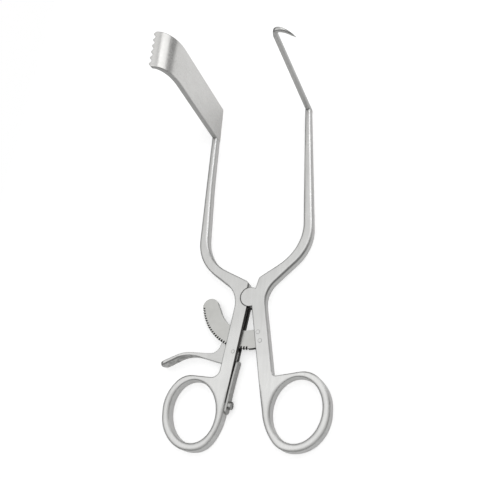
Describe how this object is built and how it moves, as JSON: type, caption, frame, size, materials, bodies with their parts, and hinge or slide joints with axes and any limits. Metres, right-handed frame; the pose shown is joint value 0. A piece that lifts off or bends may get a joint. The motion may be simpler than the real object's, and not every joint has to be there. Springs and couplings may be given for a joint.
{
  "type": "self-retaining retractor",
  "caption": "Hand-held surgical retractor: two ring-handled arms on a pivot, one with a wide blade, one with a hook, held apart by a curved ratchet with a thumb release.",
  "frame": {"origin": "on the pivot axis, in the plane of the instrument's flat back", "axes": "+Y along the instrument from the finger rings to the blade and prong, +X towards the prong's side, +Z out of the front face, the way the blade and prong stand; it lies on its flat back"},
  "size_m": [0.0752, 0.1748, 0.0618],
  "materials": {
    "frame_steel": "satin",
    "blade_steel": "satin",
    "mechanism_steel": "satin",
    "fitting_steel": "satin",
    "spring_steel": "satin"
  },
  "bodies": {
    "blade_side": {"blade_side_half": "frame_steel", "retractor_blade": "blade_steel", "lever_pin": "fitting_steel", "leaf_spring": "spring_steel", "spring_screw": "fitting_steel"},
    "prong_side": {"prong_side_half": "frame_steel", "retractor_prong": "blade_steel", "pivot_screw": "fitting_steel", "ratchet_bar": "mechanism_steel", "ratchet_rivets": "fitting_steel"},
    "lever": {"release_lever": "mechanism_steel"}
  },
  "joints": [
    {"name": "main_pivot", "type": "hinge", "parent": "blade_side", "child": "prong_side", "pos_m": [0, 0, 0], "axis": [0, 0, 1], "range_deg": [-12.8, 25.6]},
    {"name": "release_lever_pivot", "type": "hinge", "parent": "blade_side", "child": "lever", "pos_m": [-0.00601, -0.0243, 0], "axis": [0, 0, 1], "range_deg": [0, 12], "stiffness_Nm_per_rad": 0.15, "springref_deg": -11.46, "deforming": ["leaf_spring"]}
  ]
}
